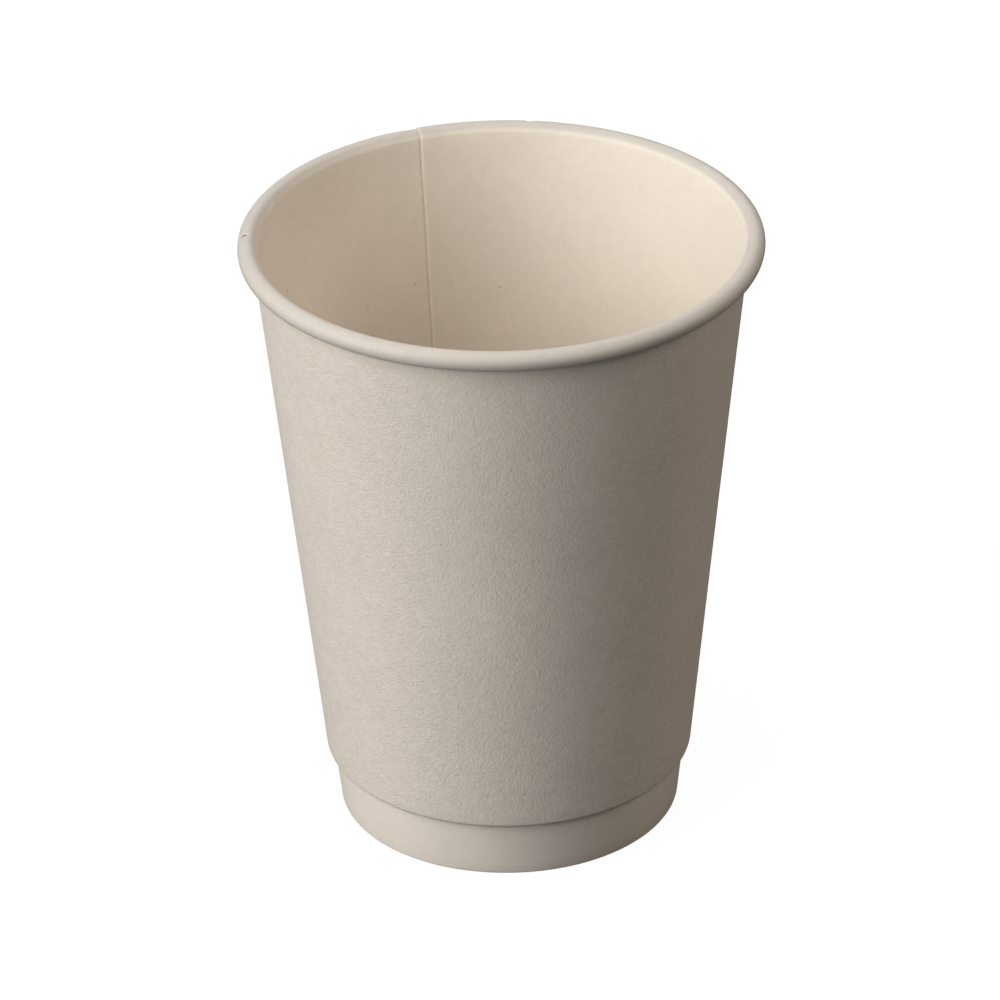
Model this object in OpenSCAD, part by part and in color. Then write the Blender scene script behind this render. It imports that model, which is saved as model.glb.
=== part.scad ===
// Double-wall paper coffee cup, standing on its foot with the mouth up.
// Millimetres, +Z up, the origin on the ground at the centre of the foot.
// Every section is drawn with X as the distance from the cup's axis and Y as the height.

/* [Overall] */
// Height from the ground to the top of the rolled rim
cup_h = 110; // [90:1:130]
// Diameter over the rolled rim, which a lid clips onto
rim_d = 90; // [80:1:100]
// Diameter of the foot, where the line of its straight wall meets the ground
foot_d = 59.6; // [52:0.2:68]

/* [Board] */
// Thickness of the wall's board
wall_t = 0.35; // [0.25:0.05:0.5]
// Thickness of the base's board
base_t = 0.3; // [0.2:0.05:0.45]
// Thickness of the sleeve's board
sleeve_t = 0.35; // [0.25:0.05:0.5]
// Glue line between two layers that are stuck together
glue = 0.04; // [0.02:0.01:0.08]

/* [Rolled rim] */
// Outer diameter of the roll
roll_d = 3.44; // [3:0.02:4.4]
// How far the tucked end goes on inside the roll after three quarters of a turn, in degrees
tuck_turn = 160; // [60:10:200]

/* [Side seams] */
// Width of a seam's lap, in degrees round the cup
lap_turn = 11; // [8:1:16]
// Step that two layers make once they are pressed together
lap_step = 0.16; // [0.08:0.02:0.2]
// Stretch over which the lower layer comes level again, in degrees round the cup
fade_turn = 9; // [6:1:15]
// Where the wall's cut edge shows inside, in degrees round from the +X side
wall_seam_at = 109.4; // [60:0.2:150]
// Where the sleeve's cut edge shows outside, in degrees round from the +X side
sleeve_seam_at = 66; // [40:1:75]

/* [Base and hem] */
// Height of the base's underside above the ground
base_h = 9; // [6:0.5:14]
// Outer radius of the bend between the base and its skirt
base_bend_r = 0.9; // [0.5:0.1:1.5]
// Length of the hem that the wall folds up inside the skirt, from the ground
hem_h = 6.5; // [4:0.5:8]
// Depth that standing presses flat at the bottom of the fold
foot_flat = 0.03; // [0.01:0.01:0.06]

/* [Sleeve] */
// Height of the sleeve's lower edge above the ground
sleeve_low = 10.7; // [4:0.1:30]
// Outer radius of the turned-in lower edge, which holds the sleeve off the wall
turn_r = 0.95; // [0.75:0.01:2]
// Height left free between the sleeve's top edge and the underside of the roll
sleeve_top_gap = 0.36; // [0.1:0.02:2]
// Room left between wall and sleeve at the top, past the laps of both
top_slack = 0.05; // [0.02:0.01:0.4]

/* [Hidden] */
$fn = 96;
// Steps in which a lap's lower layer comes level again
FADE_STEPS = 4;

// The wall's lean: its outer face starts at the foot's edge and runs up into the inner side of the roll
foot_r = foot_d / 2;
roll_r = roll_d / 2;
roll_at = [rim_d / 2 - roll_r, cup_h - roll_r];
wall_run = roll_at - [foot_r, 0];
wall_lean = lean_of(wall_run, roll_r - wall_t);
wall_len = rounded(along(wall_run, wall_lean));
// The tucked end's radius, which brings it past the wall and its lap with a glue line to spare
tuck_r = roll_r - wall_t - lap_step - glue;

// The hem: wall, skirt and folded-up strip lie side by side above the fold
hem_w = 2 * wall_t + base_t + 2 * glue;
fold_r = hem_w / 2;
fold_y = rounded((fold_r - foot_flat - fold_r * sin(wall_lean)) / cos(wall_lean));
// Centre of the bend between base and skirt, and its place along the wall
bend_h = base_h + base_t - base_bend_r;
bend_at = [wall_outer_r(bend_h) - (wall_t + glue + base_bend_r) / cos(wall_lean), bend_h];
skirt_y = rounded(along(bend_at - [foot_r, 0], wall_lean));

// The sleeve's lean: its lower edge turns about a point just clear of the wall and its lap
sleeve_top = cup_h - roll_d - sleeve_top_gap;
turn_h = sleeve_low + turn_r;
turn_at = [wall_outer_r(turn_h) + lap_step + glue, turn_h];
sleeve_top_r = wall_outer_r(sleeve_top) + 2 * lap_step + top_slack + sleeve_t;
sleeve_run = [sleeve_top_r, sleeve_top] - turn_at;
sleeve_lean = lean_of(sleeve_run, turn_r);
sleeve_len = along(sleeve_run, sleeve_lean);

// Length of the wedges that cut the bends out of full rings
wedge_r = 2 * max(roll_r, turn_r, base_bend_r);

// Rounds a length to a thousandth, so that strips and bends that share an edge meet exactly
function rounded(length) = round(1000 * length) / 1000;

// Lean from the vertical of a line through the origin that passes a point at a given distance inside it
function lean_of(point, inside_by) = atan2(point.x, point.y) - asin(inside_by / norm(point));

// How far along a leaning line a point lies
function along(point, lean) = point.x * sin(lean) + point.y * cos(lean);

// Radius of the wall's outer face at a height
function wall_outer_r(h) = foot_r + h * tan(wall_lean);

// A wedge from the origin between two angles. It has one length for every bend, so that the ends of
// neighbouring bends lie in the same plane.
module wedge(from_a, to_a) {
    sides = ceil(abs(to_a - from_a) / 60);
    turn = (to_a - from_a) / sides;
    polygon(concat([[0, 0]], [for (i = [0 : sides]) let (a = from_a + i * turn) wedge_r * [cos(a), sin(a)]]));
}

// A bent strip of board: its outer face has radius r, and the layer lies t deep inside it
module bend(r, t, from_a, to_a) {
    intersection() {
        difference() {
            circle(r);
            circle(r - t);
        }
        wedge(from_a, to_a);
    }
}

// A straight strip of board between two depths and two heights
module strip(x0, x1, y0, y1) {
    translate([x0, y0]) square([x1 - x0, y1 - y0]);
}

// Draws a section in a leaning wall's own frame: X is outward from its outer face and Y up along it
module leaning(at, lean) {
    translate(at) rotate(-lean) children();
}

// Wraps a section once round the cup and laps it. The seam's cut edge lies at seam_at, its lap runs on
// from there to the side that way gives, and on the other side the layer from underneath comes up level.
// A section reads $sunk, how deep its layer lies, and $under, how much thicker the lap makes it.
module lapped(seam_at, way) {
    sheet_sector(seam_at, way * lap_turn, 0, lap_step) children();
    for (i = [0 : FADE_STEPS - 1])
        sheet_sector(seam_at - way * i * fade_turn / FADE_STEPS, -way * fade_turn / FADE_STEPS,
            lap_step * (1 - i / FADE_STEPS), 0) children();
    sheet_sector(seam_at + way * lap_turn, way * (360 - lap_turn - fade_turn), 0, 0) children();
}

// One stretch of a wrapped section, from an angle on by a turn
module sheet_sector(from_a, turn, sunk, under) {
    $sunk = sunk;
    $under = under;
    rotate_extrude(start = min(from_a, from_a + turn), angle = abs(turn)) children();
}

// Section of the wall's blank: the fold and the hem at the foot, the straight wall, and the roll with its
// tucked end. The face inside the cup sinks by $sunk at the seam, and the lap thickens the back by $under.
module wall_section() {
    back = $sunk + $under;
    intersection() {
        leaning([foot_r, 0], wall_lean) {
            strip(-wall_t, back, fold_y, skirt_y);
            strip($sunk - wall_t, back, skirt_y, wall_len);
            strip(-hem_w, wall_t - hem_w, fold_y, hem_h);
            translate([-fold_r, fold_y]) bend(fold_r, wall_t, -180, 0);
            translate([roll_r - wall_t, wall_len]) {
                bend(roll_r - $sunk, wall_t + $under, -90, 180);
                translate([0, tuck_r - roll_r])
                    bend(tuck_r - $sunk, wall_t + $under, -90 - tuck_turn, -90);
            }
        }
        // Standing presses the fold flat at the ground
        square([rim_d, 2 * cup_h]);
    }
}

// The cup's wall with its rolled rim and its hem
module cup_wall() {
    color([0.86, 0.81, 0.74])
        lapped(wall_seam_at, -1) wall_section();
}

// The base, a disc whose edge is bent down into a skirt between the wall and the hem
module base_disc() {
    color([0.84, 0.79, 0.72])
        rotate_extrude() intersection() {
            translate(bend_at) {
                strip(-foot_d, 0, base_bend_r - base_t, base_bend_r);
                bend(base_bend_r, base_t, 0, 90);
                rotate(-wall_lean) {
                    bend(base_bend_r, base_t, 0, 45);
                    strip(base_bend_r - base_t, base_bend_r, fold_y - skirt_y, 0);
                }
            }
            square([foot_d, cup_h]);
        }
}

// Section of the sleeve's blank: the straight wrap and the lower edge turned in against the wall. The face
// outside sinks by $sunk at the seam, and the lap thickens the back by $under.
module sleeve_section() {
    leaning(turn_at, sleeve_lean) {
        strip(turn_r - sleeve_t - $sunk - $under, turn_r - $sunk, 0, sleeve_len);
        bend(turn_r - $sunk, sleeve_t + $under, -90, 0);
    }
}

// The outer sleeve, tucked under the roll
module outer_sleeve() {
    color([0.82, 0.78, 0.73])
        lapped(sleeve_seam_at, 1) sleeve_section();
}

cup_wall();
base_disc();
outer_sleeve();
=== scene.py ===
import math

import bmesh
import bpy
from mathutils import Matrix, Vector


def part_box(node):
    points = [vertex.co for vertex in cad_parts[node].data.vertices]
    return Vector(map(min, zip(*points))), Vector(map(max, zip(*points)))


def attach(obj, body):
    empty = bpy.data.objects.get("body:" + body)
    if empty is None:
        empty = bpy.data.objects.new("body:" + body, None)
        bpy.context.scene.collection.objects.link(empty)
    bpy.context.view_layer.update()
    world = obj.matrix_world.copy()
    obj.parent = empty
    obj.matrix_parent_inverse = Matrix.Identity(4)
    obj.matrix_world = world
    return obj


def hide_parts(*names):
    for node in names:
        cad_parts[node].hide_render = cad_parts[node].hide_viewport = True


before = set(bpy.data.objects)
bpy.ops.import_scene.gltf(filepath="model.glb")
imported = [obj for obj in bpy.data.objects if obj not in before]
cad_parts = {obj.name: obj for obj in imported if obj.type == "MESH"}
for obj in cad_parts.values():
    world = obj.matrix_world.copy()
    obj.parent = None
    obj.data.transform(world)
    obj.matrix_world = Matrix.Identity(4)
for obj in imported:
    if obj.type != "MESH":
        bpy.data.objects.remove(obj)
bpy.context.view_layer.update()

# Cup wall. One fan-shaped blank of paperboard with a thin lining on the drink's side, wrapped into a cone
# and glued along a lapped seam. Its top is rolled outward into the rim with the end tucked in, and its foot
# is folded inward and up round the skirt of the base.
MM = 0.001
WALL_BOARD = 0.35 * MM
WALL_FOOT_R = 29.8 * MM
ROLL_R = 1.72 * MM
TUCK_TURN = 160
HEM_H = 6.5 * MM
FOLD_R = 0.54 * MM
FOOT_PRESSED = 0.03 * MM
GLUE = 0.04 * MM
LAP_STEP = 0.16 * MM
LAP = math.radians(11)
LAP_FADE = math.radians(9)
WALL_SEAM_AT = math.radians(109.4)
WALL_WAY = -1.0
WALL_CUT = 0.5 * MM
CUT_EDGE = 0.12 * MM
WALL_GROOVE = 0.8 * MM
GROOVE_DEPTH = 0.03 * MM
BOARD_WAVE = 0.06 * MM
BOARD_WAVE_SIZE = 38 * MM
BOARD_CRINKLE = 0.015 * MM
BOARD_CRINKLE_SIZE = 5 * MM
SEAM_WAVER = 0.2 * MM
SEAM_WAVER_SIZE = 22 * MM
WAVE_SEED = 7
CRACK_AT = math.radians(178.8)
CRACK_UP = math.radians(67.7)
CRACK_HALF_WIDTH = 0.58 * MM
CRACK_HALF_LENGTH = 1.15 * MM
CRACK_DEPTH = 0.22 * MM
NOTCH_AT = math.radians(83.2)
NOTCH_UP = math.radians(60)
NOTCH_HALF_WIDTH = 0.95 * MM
NOTCH_HALF_LENGTH = 1.30 * MM
NOTCH_DEPTH = 0.18 * MM
WALL_LINED = (0.797, 0.720, 0.622)
# The lining's colour on the roll: the same board made darker, as painted shade on the roll
WALL_ROLL_SHADE = (0.585, 0.530, 0.468)
# The wall's bare face, seen on the foot band under the sleeve: lighter than the sleeve's paper, partly as
# painted light that offsets the shade under the sleeve's turned edge
WALL_PAPER_AND_PAINTED_LIGHT = (0.825, 0.740, 0.650)
CUT_PAPER = (0.800, 0.735, 0.655)
GLUE_BROWN = (0.560, 0.455, 0.320)
GLUE_SHARE = 0.42
SPECK_BROWN = (0.300, 0.210, 0.110)
# The tear's dark inside: partly its brown core, partly painted shade in the crevice
CRACK_BROWN_AND_SHADE = (0.200, 0.150, 0.100)
LINED_ROUGHNESS = 0.55
LINED_PEEL = 0.035 * MM
LINED_MOTTLE = 0.20

wall_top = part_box("cup_wall")[1]
roll_at = Vector((wall_top.x - ROLL_R, wall_top.z - ROLL_R))


def lean_of(run, inside_by):
    """Lean from the vertical of a line through the origin that passes a point at a distance inside it."""
    return math.atan2(run.x, run.y) - math.asin(inside_by / run.length)


def arc(centre, radius, start, end, step, bulge):
    """Stations along a bend of board, each a point and the way its lined face looks: away from the
    centre where bulge is 1, and towards it where it is -1. Angles are in degrees."""
    count = math.ceil(abs(end - start) / step)
    turns = [math.radians(start + (end - start) * i / count) for i in range(count + 1)]
    ways = [Vector((math.cos(turn), math.sin(turn))) for turn in turns]
    return [(Vector(centre) + radius * way, bulge * way) for way in ways]


def straight(start, end, face, step):
    """Stations along a flat stretch of board, each a point and the way its lined face looks."""
    run = Vector(end) - Vector(start)
    count = math.ceil(run.length / step)
    return [(Vector(start) + run * i / count, Vector(face)) for i in range(count + 1)]


def leaning(stations, at, lean):
    """Stations drawn in a leaning wall's own frame, set where the wall stands."""
    turn = Matrix.Rotation(-lean, 2)
    return [(Vector(at) + turn @ point, turn @ face) for point, face in stations]


CUT_STEPS = (0.04, 0.12, 0.3, 0.6, 1.0)
CUT_BLUNT = 0.5


def opening_of(distance, edge):
    """How far apart the two faces of a sheet are at a distance from its cut edge, as a share. The blade
    leaves a blunt edge, which handling and pressing bevel."""
    if distance >= edge:
        return 1.0
    share = distance / edge
    if share < CUT_STEPS[0]:
        return CUT_BLUNT * share / CUT_STEPS[0]
    return CUT_BLUNT + (1 - CUT_BLUNT) * (share - CUT_STEPS[0]) / (1 - CUT_STEPS[0])


def with_cut_ends(lengths, edge_start, edge_end):
    """Adds the lengths at which a rounded cut edge bends, at the start and at the end of a list."""
    low, high = lengths[0], lengths[-1]
    near_start = [low + edge_start * share for share in CUT_STEPS if edge_start]
    near_end = [high - edge_end * share for share in CUT_STEPS if edge_end]
    kept = [x for x in lengths if low + edge_start < x < high - edge_end]
    return sorted({low, high, *near_start, *kept, *near_end})


def row_object(name, points, **attributes):
    """An object that holds a row of points and their named numbers or directions, for a tree to read."""
    mesh = bpy.data.meshes.new(name)
    mesh.from_pydata([tuple(point) for point in points], [], [])
    for key, values in attributes.items():
        is_vector = isinstance(values[0], Vector)
        layer = mesh.attributes.new(key, "FLOAT_VECTOR" if is_vector else "FLOAT", "POINT")
        flat = [x for value in values for x in value] if is_vector else values
        layer.data.foreach_set("vector" if is_vector else "value", flat)
    made = bpy.data.objects.new(name, mesh)
    bpy.context.scene.collection.objects.link(made)
    return made


def section_object(name, pieces, edge_start, edge_end):
    """The row of points down a sheet's section, with rounded cut edges at the ends that have one."""
    stations = [pieces[0][0]] + [station for piece in pieces for station in piece[1:]]
    reached = [0.0]
    for (here, _), (ahead, _) in zip(stations, stations[1:]):
        reached.append(reached[-1] + (ahead - here).length)
    lengths = with_cut_ends(reached, edge_start, edge_end)
    points, faces, openings = [], [], []
    for length in lengths:
        i = max(j for j in range(len(reached) - 1) if reached[j] <= length)
        share = (length - reached[i]) / (reached[i + 1] - reached[i])
        point = stations[i][0].lerp(stations[i + 1][0], share)
        face = stations[i][1].lerp(stations[i + 1][1], share)
        points.append((point.x, 0, point.y))
        faces.append(Vector((face.x, 0, face.y)))
        from_start = opening_of(length, edge_start)
        from_end = opening_of(reached[-1] - length, edge_end)
        openings.append(min(from_start, from_end))
    return row_object(name, points, face=faces, opening=openings)


TURN_STEP = math.radians(1.3)
FINE_TURNS = 8
FINE_REACH = 0.02
SAME_TURN = 1e-6


def turns_object(name, radius, lap, cut, fine=()):
    """The row of turns at which a sheet is wrapped: x is the angle from its first cut edge. They lie
    closer where the lower layer sinks under the lap, and near each turn in fine."""
    end = math.tau + lap
    count = round(end / TURN_STEP)
    turns = [end * i / count for i in range(count + 1)]
    if lap:
        sunk = 4 * cut / radius
        turns += [math.tau - sunk * (i / FINE_TURNS) ** 2 for i in range(FINE_TURNS + 1)]
    for centre in fine:
        for i in range(-FINE_TURNS, FINE_TURNS + 1):
            turns.append(centre + math.copysign(FINE_REACH * (i / FINE_TURNS) ** 2, i))
    edge = cut / radius if lap else 0.0
    turns = with_cut_ends(sorted(turns), edge, edge)
    turns = [turn for i, turn in enumerate(turns) if i == 0 or turn - turns[i - 1] > SAME_TURN]
    openings = [min(opening_of(turn, edge), opening_of(end - turn, edge)) for turn in turns]
    return row_object(name, [(turn, 0, 0) for turn in turns], opening=openings)


def plug(tree, socket, value):
    """Feeds a socket with a plain value, or with what another node gives."""
    if isinstance(value, Field):
        value = value.socket
    if isinstance(value, bpy.types.NodeSocket):
        tree.links.new(value, socket)
    else:
        socket.default_value = value


def node(tree, kind, inputs=None, **settings):
    """Adds a node to a tree, with its settings and with what its named inputs are fed."""
    made = tree.nodes.new(kind)
    for name, value in settings.items():
        setattr(made, name, value)
    for name, value in (inputs or {}).items():
        plug(tree, made.inputs[name], value)
    return made


class Field:
    """A number that a tree works out at each place, so that the sums in a tree read as sums."""

    def __init__(self, tree, socket):
        self.tree = tree
        self.socket = socket

    def by(self, operation, *others):
        made = node(self.tree, "ShaderNodeMath", operation=operation)
        for socket, value in zip(made.inputs, (self, *others)):
            plug(self.tree, socket, value)
        return Field(self.tree, made.outputs[0])

    def __add__(self, other):
        return self.by("ADD", other)

    def __sub__(self, other):
        return self.by("SUBTRACT", other)

    def __mul__(self, other):
        return self.by("MULTIPLY", other)

    def __truediv__(self, other):
        return self.by("DIVIDE", other)

    def smooth(self, none_at, full_at):
        """0 at the first value and 1 at the second, whichever is larger, with a soft rise between them."""
        inputs = {"Value": self, "From Min": none_at, "From Max": full_at}
        made = node(self.tree, "ShaderNodeMapRange", inputs, interpolation_type="SMOOTHSTEP")
        return Field(self.tree, made.outputs["Result"])


WRAP_SIZES = (
    "Board",
    "Seam at",
    "Way",
    "Lap",
    "Lap step",
    "Fade",
    "Groove",
    "Groove depth",
    "Press",
    "Press at",
    "Press top",
    "Waver",
    "Waver size",
    "Wave",
    "Wave size",
    "Crinkle",
    "Crinkle size",
    "Seed",
)
# How far short of the cut edge the glue stops, as a turn, and how near two points are to be one
GLUE_SHORT = 1e-4
SAME_PLACE = 1e-6


def wrapping_tree():
    """The tree that wraps a sheet's section round the cup. It takes each point of the section and each
    turn round the cup, lays the two faces of the board half a board to either side, sinks the lower layer
    under the lap, and presses both layers thin there. Flaws are places where the face is dented or torn."""
    tree = bpy.data.node_groups.new("wrapped_board", "GeometryNodeTree")
    new_socket = tree.interface.new_socket
    new_socket("Section", in_out="INPUT", socket_type="NodeSocketGeometry")
    new_socket("Turns", in_out="INPUT", socket_type="NodeSocketObject")
    new_socket("Flaws", in_out="INPUT", socket_type="NodeSocketObject")
    for name in WRAP_SIZES:
        new_socket(name, in_out="INPUT", socket_type="NodeSocketFloat")
    new_socket("Finish", in_out="INPUT", socket_type="NodeSocketMaterial")
    new_socket("Sheet", in_out="OUTPUT", socket_type="NodeSocketGeometry")
    given = node(tree, "NodeGroupInput").outputs
    size = {name: Field(tree, given[name]) for name in WRAP_SIZES}
    board, step, lap, fade = [size[name] for name in ("Board", "Lap step", "Lap", "Fade")]
    section = given["Section"]
    turns = node(tree, "GeometryNodeObjectInfo", {"Object": given["Turns"]}).outputs["Geometry"]
    flaws = node(tree, "GeometryNodeObjectInfo", {"Object": given["Flaws"]}).outputs["Geometry"]

    def count_of(points):
        domain = node(tree, "GeometryNodeAttributeDomainSize", {"Geometry": points}, component="MESH")
        return Field(tree, domain.outputs["Point Count"])

    def attribute(name, kind="FLOAT"):
        named = node(tree, "GeometryNodeInputNamedAttribute", {"Name": name}, data_type=kind)
        return named.outputs["Attribute"]

    def read(points, value, index, kind="FLOAT"):
        inputs = {"Geometry": points, "Value": value, "Index": index}
        sampled = node(tree, "GeometryNodeSampleIndex", inputs, data_type=kind)
        return Field(tree, sampled.outputs["Value"])

    def axes(vector):
        parted = node(tree, "ShaderNodeSeparateXYZ", {"Vector": vector})
        return [Field(tree, socket) for socket in parted.outputs]

    def vector(x, y, z):
        return node(tree, "ShaderNodeCombineXYZ", {"X": x, "Y": y, "Z": z}).outputs["Vector"]

    def uneven(dimensions, inputs):
        """A smooth noise about zero, up to about 1 either way."""
        made = node(tree, "ShaderNodeTexNoise", {**inputs, "Detail": 1.0}, noise_dimensions=dimensions)
        return (Field(tree, made.outputs["Fac"]) - 0.5) * 2

    # Each column of the grid is one turn, and its rows go down the lined face and back up the other
    down = count_of(section)
    rows = down * 2
    grid = node(tree, "GeometryNodeMeshGrid", {"Vertices X": count_of(turns), "Vertices Y": rows})
    index = Field(tree, node(tree, "GeometryNodeInputIndex").outputs["Index"])
    column = ((index + 0.5) / rows).by("FLOOR")
    row = index - column * rows
    is_back = row.by("GREATER_THAN", down - 0.5)
    is_front = is_back * -1 + 1
    place = row + is_back * (rows - row * 2 - 1)
    position = node(tree, "GeometryNodeInputPosition").outputs["Position"]
    radius, _, height = axes(read(section, position, place, "FLOAT_VECTOR"))
    face_out, _, face_up = axes(read(section, attribute("face", "FLOAT_VECTOR"), place, "FLOAT_VECTOR"))
    turn, _, _ = axes(read(turns, position, column, "FLOAT_VECTOR"))
    opening = read(section, attribute("opening"), place) * read(turns, attribute("opening"), column)

    # The seam wavers a little as it runs up, and the sheet may sit closer in on one side of its top
    waver_at = height / size["Waver size"] + size["Seed"]
    waver = uneven("1D", {"W": waver_at, "Scale": 1.0}) * size["Waver"]
    angle = size["Seam at"] + size["Way"] * turn + waver / radius.by("MAXIMUM", 1 * MM)
    across, along = angle.by("COSINE"), angle.by("SINE")
    press = ((angle - size["Press at"]).by("COSINE") * 0.5 + 0.5) * height.smooth(0, size["Press top"])
    radius = radius - press * size["Press"]
    level = vector(radius * across, radius * along, height)

    # The flaw nearest to each place, and how far inside it the place lies
    among = {"Geometry": flaws, "Sample Position": level}
    nearest = node(tree, "GeometryNodeSampleNearest", among, domain="POINT")
    flaw = Field(tree, nearest.outputs["Index"])
    apart = node(tree, "ShaderNodeVectorMath", operation="SUBTRACT")
    plug(tree, apart.inputs[0], level)
    plug(tree, apart.inputs[1], read(flaws, position, flaw, "FLOAT_VECTOR"))
    apart_x, apart_y, apart_z = axes(apart.outputs["Vector"])
    sideways = apart_y * across - apart_x * along
    lengthways = (apart_x * apart_x + apart_y * apart_y + apart_z * apart_z - sideways * sideways).by("SQRT")
    sideways = sideways / read(flaws, attribute("half_width"), flaw)
    lengthways = lengthways / read(flaws, attribute("half_length"), flaw)
    from_flaw = (sideways * sideways + lengthways * lengthways).by("SQRT")
    in_flaw = (from_flaw.smooth(0, 1) * -1 + 1) * is_front
    dent = in_flaw * read(flaws, attribute("depth"), flaw)
    torn = in_flaw * read(flaws, attribute("torn"), flaw)

    # Depth of the two faces below the sheet's level: the lap presses both layers into one board and a step
    squeezed = (board - step) * 0.5
    sinking = turn.smooth(fade * -1 + math.tau, math.tau) * step
    groove = turn.smooth(size["Groove"] * -1 + math.tau, math.tau) * lap.by("SIGN")
    hollow = groove * size["Groove depth"]
    pressed = (turn.smooth(lap, lap + fade) * -1 + 1) * squeezed * lap.by("SIGN")
    front = sinking + hollow
    back = board + sinking - pressed
    middle = (front + back) * 0.5
    depth = middle + (back - front) * 0.5 * opening * (is_back * 2 - 1) - board * 0.5 + dent

    # The board isn't quite even, and all the cup's sheets wave together
    wave = {"Vector": level, "W": size["Seed"], "Scale": size["Wave size"].by("POWER", -1)}
    crinkle = {"Vector": level, "W": size["Seed"], "Scale": size["Crinkle size"].by("POWER", -1)}
    waving = uneven("4D", wave) * size["Wave"] + uneven("4D", crinkle) * size["Crinkle"]
    out_by = radius + face_out * (waving - depth)
    up_by = (height + face_up * (waving - depth)).by("MAXIMUM", 0)
    placed = node(
        tree,
        "GeometryNodeSetPosition",
        {"Geometry": grid.outputs["Mesh"], "Position": vector(out_by * across, out_by * along, up_by)},
    )

    # What the finish reads: which face is lined, where it turns round the roll and takes its painted shade,
    # where the board is cut or torn, and where glue shows
    sheet = placed.outputs["Geometry"]
    for name, value in (
        ("lined", is_front),
        ("rolled", face_out.smooth(-0.99, -0.65)),
        ("cut", opening * -1 + 1),
        ("torn", torn),
        ("groove", groove * is_front * turn.by("LESS_THAN", math.tau - GLUE_SHORT)),
    ):
        inputs = {"Geometry": sheet, "Name": name, "Value": value}
        sheet = node(tree, "GeometryNodeStoreNamedAttribute", inputs, data_type="FLOAT").outputs["Geometry"]
    merged = node(tree, "GeometryNodeMergeByDistance", {"Geometry": sheet, "Distance": SAME_PLACE})
    smooth = node(tree, "GeometryNodeSetShadeSmooth", {"Geometry": merged.outputs["Geometry"]})
    real = node(tree, "GeometryNodeRealizeInstances", {"Geometry": smooth.outputs["Geometry"]})
    finish = {"Geometry": real.outputs["Geometry"], "Material": given["Finish"]}
    finished = node(tree, "GeometryNodeSetMaterial", finish)
    node(tree, "NodeGroupOutput", {"Sheet": finished.outputs["Geometry"]})
    return tree


def wrapped_piece(name, section, turns, flaws, material, sizes):
    """Wraps a section round the cup, keeps the result as a plain closed mesh and drops the rows."""
    modifier = section.modifiers.new("wrapped_board", "NODES")
    modifier.node_group = bpy.data.node_groups.get("wrapped_board") or wrapping_tree()
    inputs = {"Turns": turns, "Flaws": flaws, "Finish": material, **sizes}
    for item in modifier.node_group.interface.items_tree:
        if item.in_out == "INPUT" and item.name in inputs:
            modifier[item.identifier] = inputs[item.name]
    depsgraph = bpy.context.evaluated_depsgraph_get()
    mesh = bpy.data.meshes.new_from_object(section.evaluated_get(depsgraph))
    mesh.name = name
    shell = bmesh.new()
    shell.from_mesh(mesh)
    if shell.calc_volume(signed=True) < 0:
        bmesh.ops.reverse_faces(shell, faces=shell.faces)
    shell.to_mesh(mesh)
    shell.free()
    for used in filter(None, (section, turns, flaws)):
        bpy.data.objects.remove(used)
    piece = bpy.data.objects.new(name, mesh)
    bpy.context.scene.collection.objects.link(piece)
    return piece


PEEL_SIZE = 0.55 * MM
FIBRE_SIZE = 1.7 * MM
FIBRE_FINENESS = 0.95
CLOUD_SIZE = 14 * MM
CLOUD = 0.10
CUT_LIGHTER = 0.09
TORN_PALE = 0.45
BARK_SIZE = 9 * MM
BARK_DARK = 0.3
RAGGED_SIZE = 0.3 * MM
RAGGED = 0.5
SHEEN_SIZE = 3 * MM
SHEEN_CHANGE = 0.12
BOARD_SPECULAR = 0.35


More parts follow.
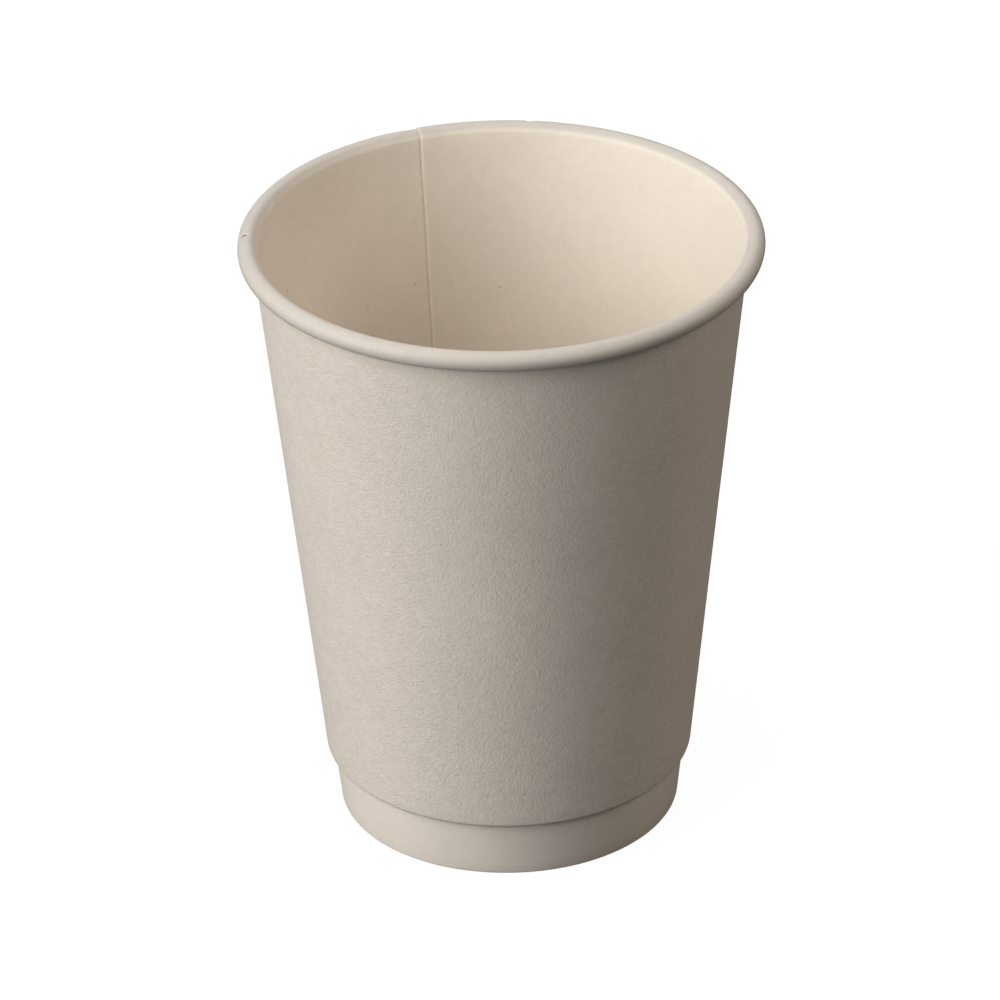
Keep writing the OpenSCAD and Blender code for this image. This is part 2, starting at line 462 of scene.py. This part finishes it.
def board_finish(name, lined, rolled, paper, roughness, peel, mottle, specks=()):
    """Paperboard: an off-white sheet of felted fibres, mottled and slightly dimpled, with a few bits of
    bark. The lined face is smoother and creamier than the bare one, and is darker round the roll as painted
    shade where a darker roll colour is given. A cut edge is a little lighter. A tear has pale lips and is
    dark inside, partly brown and partly painted shade."""
    material = bpy.data.materials.new(name)
    material.use_nodes = True
    tree = material.node_tree
    shader = tree.nodes["Principled BSDF"]
    where = node(tree, "ShaderNodeTexCoord").outputs["Object"]

    def noise(size, detail, roughness=0.55):
        inputs = {"Vector": where, "Scale": 1 / size, "Detail": detail, "Roughness": roughness}
        return Field(tree, node(tree, "ShaderNodeTexNoise", inputs).outputs["Fac"])

    def mix(share, first, second, blend="MIX"):
        made = node(tree, "ShaderNodeMix", {0: share}, data_type="RGBA", blend_type=blend)
        plug(tree, made.inputs[6], first)
        plug(tree, made.inputs[7], second)
        return made.outputs[2]

    def surface(name):
        return Field(tree, node(tree, "ShaderNodeAttribute", attribute_name=name).outputs["Fac"])

    is_lined, torn = surface("lined"), surface("torn")
    fibres = (noise(FIBRE_SIZE, 4, FIBRE_FINENESS) - 0.5) * mottle
    clouds = (noise(CLOUD_SIZE, 2) - 0.5) * CLOUD
    shade = clouds + fibres + surface("cut").smooth(0.02, 0.2) * CUT_LIGHTER + 1.0
    # Painted shade: the roll takes the darker roll colour in place of the lining's
    color = mix(surface("rolled"), (*lined, 1), (*rolled, 1))
    color = mix(is_lined, (*paper, 1), color)
    color = mix(surface("groove").smooth(0.1, 0.8) * GLUE_SHARE, color, (*GLUE_BROWN, 1))
    color = mix(torn.smooth(0.02, 0.3) * TORN_PALE, color, (*CUT_PAPER, 1))
    # The tear's dark middle is partly brown core and partly painted shade in the crevice
    color = mix(torn.smooth(0.35, 0.55), color, (*CRACK_BROWN_AND_SHADE, 1))
    grey = node(tree, "ShaderNodeCombineColor", {"Red": shade, "Green": shade, "Blue": shade})
    color = mix(1.0, color, grey.outputs["Color"], "MULTIPLY")
    bark = node(tree, "ShaderNodeTexVoronoi", {"Vector": where, "Scale": 1 / BARK_SIZE})
    near_bark = Field(tree, bark.outputs["Distance"]).smooth(0.03, 0.012)
    fleck = near_bark * noise(BARK_SIZE, 0).smooth(0.5, 0.56) * BARK_DARK
    ragged = (noise(RAGGED_SIZE, 1) - 0.5) * RAGGED
    for place, half_size, share in specks:
        apart = node(tree, "ShaderNodeVectorMath", {0: where, 1: place}, operation="DISTANCE")
        spot = Field(tree, apart.outputs["Value"]) / half_size + ragged
        fleck = fleck.by("MAXIMUM", spot.smooth(1.0, 0.4) * share)
    color = mix(fleck, color, (*SPECK_BROWN, 1))
    plug(tree, shader.inputs["Base Color"], color)
    plug(tree, shader.inputs["Roughness"], (noise(SHEEN_SIZE, 2) - 0.5) * SHEEN_CHANGE + roughness)
    shader.inputs["Specular IOR Level"].default_value = BOARD_SPECULAR
    dimples = noise(PEEL_SIZE, 2, 1.0)
    bump = node(tree, "ShaderNodeBump", {"Height": dimples, "Distance": peel, "Strength": 1.0})
    plug(tree, shader.inputs["Normal"], bump.outputs["Normal"])
    return material


wall_run = roll_at - Vector((WALL_FOOT_R, 0))
wall_lean = lean_of(wall_run, ROLL_R - WALL_BOARD)
wall_len = wall_run.x * math.sin(wall_lean) + wall_run.y * math.cos(wall_lean)
hem_w = 2 * FOLD_R
fold_y = (FOLD_R - FOOT_PRESSED - FOLD_R * math.sin(wall_lean)) / math.cos(wall_lean)
tuck_r = ROLL_R - WALL_BOARD - LAP_STEP - GLUE
half_wall = WALL_BOARD / 2
roll_centre = Vector((ROLL_R - WALL_BOARD, wall_len))
tuck_centre = roll_centre - Vector((0, ROLL_R - tuck_r))


def round_cup(around, radius, height):
    """A place at an angle round the cup, a distance from its axis and a height."""
    return Vector((radius * math.cos(around), radius * math.sin(around), height))


def on_roll(around, up):
    """The middle of the rolled board at an angle round the cup and an angle up round the roll."""
    middle = ROLL_R - half_wall
    return round_cup(around, roll_at.x + middle * math.cos(up), roll_at.y + middle * math.sin(up))


def wall_outer_r(height):
    """Radius of the wall's outer face at a height."""
    return WALL_FOOT_R + height * math.tan(wall_lean)


def on_wall(around, height):
    """A place on the wall's lined face at an angle round the cup and a height."""
    return round_cup(around, wall_outer_r(height) - WALL_BOARD / math.cos(wall_lean), height)


# A crack across the roll on the left, and a nick in its top at the back: half a width round the cup, half a
# length across that, a depth, and 1 where the face is torn
wall_flaws = row_object(
    "wall_flaws",
    [on_roll(CRACK_AT, CRACK_UP), on_roll(NOTCH_AT, NOTCH_UP)],
    half_width=[CRACK_HALF_WIDTH, NOTCH_HALF_WIDTH],
    half_length=[CRACK_HALF_LENGTH, NOTCH_HALF_LENGTH],
    depth=[CRACK_DEPTH, NOTCH_DEPTH],
    torn=[1.0, 0.0],
)
flaw_turns = [(WALL_SEAM_AT - CRACK_AT) % math.tau, (WALL_SEAM_AT - NOTCH_AT) % math.tau]
# Bits of bark in the board: angle round the cup, height, half size and how dark
wall_specks = [
    (on_wall(math.radians(around), height * MM), half_size * MM, share)
    for around, height, half_size, share in (
        (159.3, 92.3, 0.32, 0.65),
        (113.3, 81.9, 0.30, 0.45),
        (90.7, 79.8, 0.32, 0.42),
        (168.4, 106.7, 0.28, 0.30),
        (148.2, 95.0, 0.24, 0.35),
        (138.9, 105.7, 0.26, 0.20),
        (112.7, 93.7, 0.70, 0.10),
        (123.6, 88.6, 0.45, 0.12),
        (128.1, 80.1, 0.60, 0.10),
        (52.0, 84.0, 0.18, 0.30),
    )
]

# A sheet with no seam and no press, to which the wall and the sleeve add theirs
plain_sheet = {
    "Seam at": 0.0,
    "Way": 1.0,
    "Lap": 0.0,
    "Lap step": 0.0,
    "Fade": LAP_FADE,
    "Groove": LAP_FADE,
    "Groove depth": 0.0,
    "Press": 0.0,
    "Press at": 0.0,
    "Press top": wall_top.z,
    "Waver": 0.0,
    "Waver size": SEAM_WAVER_SIZE,
    "Wave": BOARD_WAVE,
    "Wave size": BOARD_WAVE_SIZE,
    "Crinkle": BOARD_CRINKLE,
    "Crinkle size": BOARD_CRINKLE_SIZE,
    "Seed": WAVE_SEED,
}

# The wall's section in five stretches, from the hem up to the tucked end, each with the step between its
# points: a length where it is straight, and degrees where it is bent
wall_pieces = [
    straight((half_wall - hem_w, HEM_H), (half_wall - hem_w, fold_y), (1, 0), 1.2 * MM),
    arc((-FOLD_R, fold_y), FOLD_R - half_wall, 180, 360, 18, -1),
    straight((-half_wall, fold_y), (-half_wall, wall_len), (-1, 0), 2.2 * MM),
    arc(roll_centre, ROLL_R - half_wall, 180, -90, 7, 1),
    arc(tuck_centre, tuck_r - half_wall, -90, -90 - TUCK_TURN, 12, 1),
]
rolled_wall = wrapped_piece(
    "rolled_wall",
    section_object(
        "wall_section",
        [leaning(piece, (WALL_FOOT_R, 0), wall_lean) for piece in wall_pieces],
        CUT_EDGE,
        CUT_EDGE,
    ),
    turns_object("wall_turns", wall_top.x, LAP, WALL_CUT, flaw_turns),
    wall_flaws,
    board_finish(
        "lined_board",
        WALL_LINED,
        WALL_ROLL_SHADE,
        WALL_PAPER_AND_PAINTED_LIGHT,
        LINED_ROUGHNESS,
        LINED_PEEL,
        LINED_MOTTLE,
        wall_specks,
    ),
    {
        **plain_sheet,
        "Board": WALL_BOARD,
        "Seam at": WALL_SEAM_AT,
        "Way": WALL_WAY,
        "Lap": LAP,
        "Lap step": LAP_STEP,
        "Groove": WALL_GROOVE / wall_top.x,
        "Groove depth": GROOVE_DEPTH,
        "Waver": SEAM_WAVER,
    },
)
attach(rolled_wall, "root")
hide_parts("cup_wall")

# Base. A disc of the same lined board, pressed so that its edge bends down into a skirt, and gripped
# between the wall and the wall's folded-up hem, about 9 mm above the ground.
BASE_BOARD = 0.3 * MM
BASE_H = 9 * MM
BASE_BEND_R = 0.9 * MM
BASE_CUT_EDGE = 0.1 * MM
BASE_PAPER = (0.735, 0.655, 0.572)

half_base = BASE_BOARD / 2
bend_h = BASE_H + BASE_BOARD - BASE_BEND_R
inside_wall = (WALL_BOARD + GLUE + BASE_BEND_R) / math.cos(wall_lean)
bend_at = Vector((wall_outer_r(bend_h) - inside_wall, bend_h))
skirt_y = (bend_at.x - WALL_FOOT_R) * math.sin(wall_lean) + bend_at.y * math.cos(wall_lean)
skirt_x = BASE_BEND_R - half_base
base_pieces = [
    straight((0, BASE_H + half_base), (bend_at.x, BASE_H + half_base), (0, 1), 1.4 * MM),
    arc(bend_at, BASE_BEND_R - half_base, 90, -math.degrees(wall_lean), 10, 1),
    leaning(straight((skirt_x, 0), (skirt_x, fold_y - skirt_y), (1, 0), 1.2 * MM), bend_at, wall_lean),
]
pressed_base = wrapped_piece(
    "pressed_base",
    section_object("base_section", base_pieces, 0, BASE_CUT_EDGE),
    turns_object("base_turns", bend_at.x, 0, 0),
    None,
    board_finish(
        "base_board",
        WALL_LINED,
        WALL_LINED,
        BASE_PAPER,
        LINED_ROUGHNESS,
        LINED_PEEL,
        LINED_MOTTLE,
    ),
    {**plain_sheet, "Board": BASE_BOARD},
)
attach(pressed_base, "root")
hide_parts("base_disc")

# Sleeve. The outer wrap of bare board that keeps the hand cool: one blank round the wall with its own
# lapped seam at the back, tucked under the rolled rim and turned in against the wall near the foot.
SLEEVE_BOARD = 0.35 * MM
SLEEVE_LOW = 10.7 * MM
TURN_R = 0.95 * MM
SLEEVE_TOP_GAP = 0.36 * MM
TOP_SLACK = 0.05 * MM
SLEEVE_SEAM_AT = math.radians(66)
SLEEVE_CUT = 0.3 * MM
SLEEVE_GROOVE = 0.3 * MM
SLEEVE_PRESS = 0.28 * MM
SLEEVE_PRESS_AT = math.radians(-25)
SLEEVE_PRESS_TOP = 75 * MM
SLEEVE_PAPER = (0.735, 0.655, 0.572)
SLEEVE_ROUGHNESS = 0.8
SLEEVE_PEEL = 0.165 * MM
SLEEVE_MOTTLE = 0.42
MARK_AT = math.radians(227.2)
MARK_H = 22.6 * MM
MARK_HALF_SIZE = 0.4 * MM
MARK_DARK = 0.16

half_sleeve = SLEEVE_BOARD / 2
sleeve_top = wall_top.z - 2 * ROLL_R - SLEEVE_TOP_GAP
turn_h = SLEEVE_LOW + TURN_R
turn_at = Vector((wall_outer_r(turn_h) + LAP_STEP + GLUE, turn_h))
sleeve_top_r = wall_outer_r(sleeve_top) + 2 * LAP_STEP + TOP_SLACK + SLEEVE_BOARD
sleeve_run = Vector((sleeve_top_r, sleeve_top)) - turn_at
sleeve_lean = lean_of(sleeve_run, TURN_R)
sleeve_len = sleeve_run.x * math.sin(sleeve_lean) + sleeve_run.y * math.cos(sleeve_lean)
sleeve_x = TURN_R - half_sleeve
sleeve_pieces = [
    arc((0, 0), TURN_R - half_sleeve, -90, 0, 9, 1),
    straight((sleeve_x, 0), (sleeve_x, sleeve_len), (1, 0), 1.7 * MM),
]
# One faint mark low on the left
mark_r = turn_at.x + TURN_R + (MARK_H - turn_h) * math.tan(sleeve_lean)
sleeve_specks = [(round_cup(MARK_AT, mark_r, MARK_H), MARK_HALF_SIZE, MARK_DARK)]
wrapped_sleeve = wrapped_piece(
    "wrapped_sleeve",
    section_object(
        "sleeve_section",
        [leaning(piece, turn_at, sleeve_lean) for piece in sleeve_pieces],
        CUT_EDGE,
        CUT_EDGE,
    ),
    turns_object("sleeve_turns", sleeve_top_r, LAP, SLEEVE_CUT),
    None,
    board_finish(
        "sleeve_board",
        SLEEVE_PAPER,
        SLEEVE_PAPER,
        SLEEVE_PAPER,
        SLEEVE_ROUGHNESS,
        SLEEVE_PEEL,
        SLEEVE_MOTTLE,
        sleeve_specks,
    ),
    {
        **plain_sheet,
        "Board": SLEEVE_BOARD,
        "Seam at": SLEEVE_SEAM_AT,
        "Lap": LAP,
        "Lap step": LAP_STEP,
        "Groove": SLEEVE_GROOVE / sleeve_top_r,
        "Press": SLEEVE_PRESS,
        "Press at": SLEEVE_PRESS_AT,
        "Press top": SLEEVE_PRESS_TOP,
        "Waver": SEAM_WAVER,
    },
)
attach(wrapped_sleeve, "root")
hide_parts("outer_sleeve")

# Studio. A plain table that the camera sees as white with the cup's faint shadow, a broad soft light on the
# left, a weak warm one on the right, and weak ones in front, overhead and behind. The camera stands at the
# photograph's angle, about 29 degrees above the table.
FLOOR_SIZE = 8.0
FLOOR_PAINT = (0.07, 0.07, 0.07)
FLOOR_ROUGHNESS = 0.9
FLOOR_WHITE = 0.95
CAMERA_RISE = math.radians(29.31)
CAMERA_ROLL = math.radians(-0.917)
CAMERA_DISTANCE = 1200 * MM
CAMERA_MIDDLE = Vector((0, 0, 55 * MM))
CAMERA_AIM = Vector((-0.925 * MM, 1.26 * MM, 57.24 * MM))
CAMERA_LENS = 248.08
LIGHT_DISTANCE = 1.2
KEY_AROUND = math.radians(-59)
KEY_RISE = math.radians(29)
KEY_SIZE = (0.9, 1.4)
KEY_POWER = 17.0
PLAIN_LIGHT = (1.0, 1.0, 1.0)
FILL_AROUND = math.radians(90)
FILL_RISE = math.radians(30)
FILL_SIZE = (0.6, 0.6)
FILL_POWER = 3.8
WARM_LIGHT = (1.0, 0.89, 0.79)
FRONT_RISE = math.radians(33)
FRONT_SIZE = (0.6, 0.6)
FRONT_POWER = 1.15
TOP_RISE = math.radians(89)
TOP_SIZE = (0.6, 0.6)
TOP_POWER = 4.5
BACK_RISE = math.radians(35)
BACK_SIZE = (0.9, 0.6)
BACK_POWER = 3.0


def seen_by_camera(tree):
    """1 for what the camera sees, and 0 for light. The board is too matt to show the background in it."""
    return Field(tree, node(tree, "ShaderNodeLightPath").outputs["Is Camera Ray"])


floor_mesh = bpy.data.meshes.new("table")
half_floor = FLOOR_SIZE / 2
corners = [(x * half_floor, y * half_floor, 0) for x, y in ((-1, -1), (1, -1), (1, 1), (-1, 1))]
floor_mesh.from_pydata(corners, [], [(0, 1, 2, 3)])
table = bpy.data.objects.new("table", floor_mesh)
bpy.context.scene.collection.objects.link(table)
paint = bpy.data.materials.new("table_paint")
paint.use_nodes = True
paint_tree = paint.node_tree
paint_shader = paint_tree.nodes["Principled BSDF"]
paint_shader.inputs["Base Color"].default_value = (*FLOOR_PAINT, 1)
paint_shader.inputs["Roughness"].default_value = FLOOR_ROUGHNESS
paint_shader.inputs["Emission Color"].default_value = (1, 1, 1, 1)
plug(paint_tree, paint_shader.inputs["Emission Strength"], seen_by_camera(paint_tree) * FLOOR_WHITE)
table.data.materials.append(paint)


def around(turn, rise, distance):
    """A place at a turn round the cup from the front, a rise and a distance from the cup's middle."""
    flat = distance * math.cos(rise)
    return CAMERA_MIDDLE + Vector((flat * math.sin(turn), -flat * math.cos(turn), distance * math.sin(rise)))


def facing(here, there):
    """The turn of a light or camera at one place that looks at another."""
    return (there - here).to_track_quat("-Z", "Y")


def soft_light(name, place, size, power, color):
    """A soft light of a given width and height that looks at the cup."""
    light = bpy.data.objects.new(name, bpy.data.lights.new(name, "AREA"))
    light.data.shape = "ELLIPSE"
    light.data.size, light.data.size_y = size
    light.data.energy = power
    light.data.color = color
    light.location = place
    light.rotation_euler = facing(place, CAMERA_MIDDLE).to_euler()
    bpy.context.scene.collection.objects.link(light)


soft_light("key", around(KEY_AROUND, KEY_RISE, LIGHT_DISTANCE), KEY_SIZE, KEY_POWER, PLAIN_LIGHT)
soft_light("fill", around(FILL_AROUND, FILL_RISE, LIGHT_DISTANCE), FILL_SIZE, FILL_POWER, WARM_LIGHT)
soft_light("front", around(0, FRONT_RISE, LIGHT_DISTANCE), FRONT_SIZE, FRONT_POWER, PLAIN_LIGHT)
soft_light("top", around(0, TOP_RISE, LIGHT_DISTANCE), TOP_SIZE, TOP_POWER, PLAIN_LIGHT)
soft_light("back", around(math.pi, BACK_RISE, LIGHT_DISTANCE), BACK_SIZE, BACK_POWER, PLAIN_LIGHT)

air = bpy.data.worlds.new("air")
air.use_nodes = True
air_tree = air.node_tree
air_shader = air_tree.nodes["Background"]
air_shader.inputs["Color"].default_value = (1, 1, 1, 1)
plug(air_tree, air_shader.inputs["Strength"], seen_by_camera(air_tree))
bpy.context.scene.world = air

camera = bpy.data.objects.new("camera", bpy.data.cameras.new("camera"))
camera.data.lens = CAMERA_LENS
camera.location = around(0, CAMERA_RISE, CAMERA_DISTANCE)
camera.rotation_mode = "QUATERNION"
roll = Matrix.Rotation(CAMERA_ROLL, 3, "Z").to_quaternion()
camera.rotation_quaternion = facing(camera.location, CAMERA_AIM) @ roll
bpy.context.scene.collection.objects.link(camera)
bpy.context.scene.camera = camera
bpy.context.scene.view_settings.view_transform = "Standard"
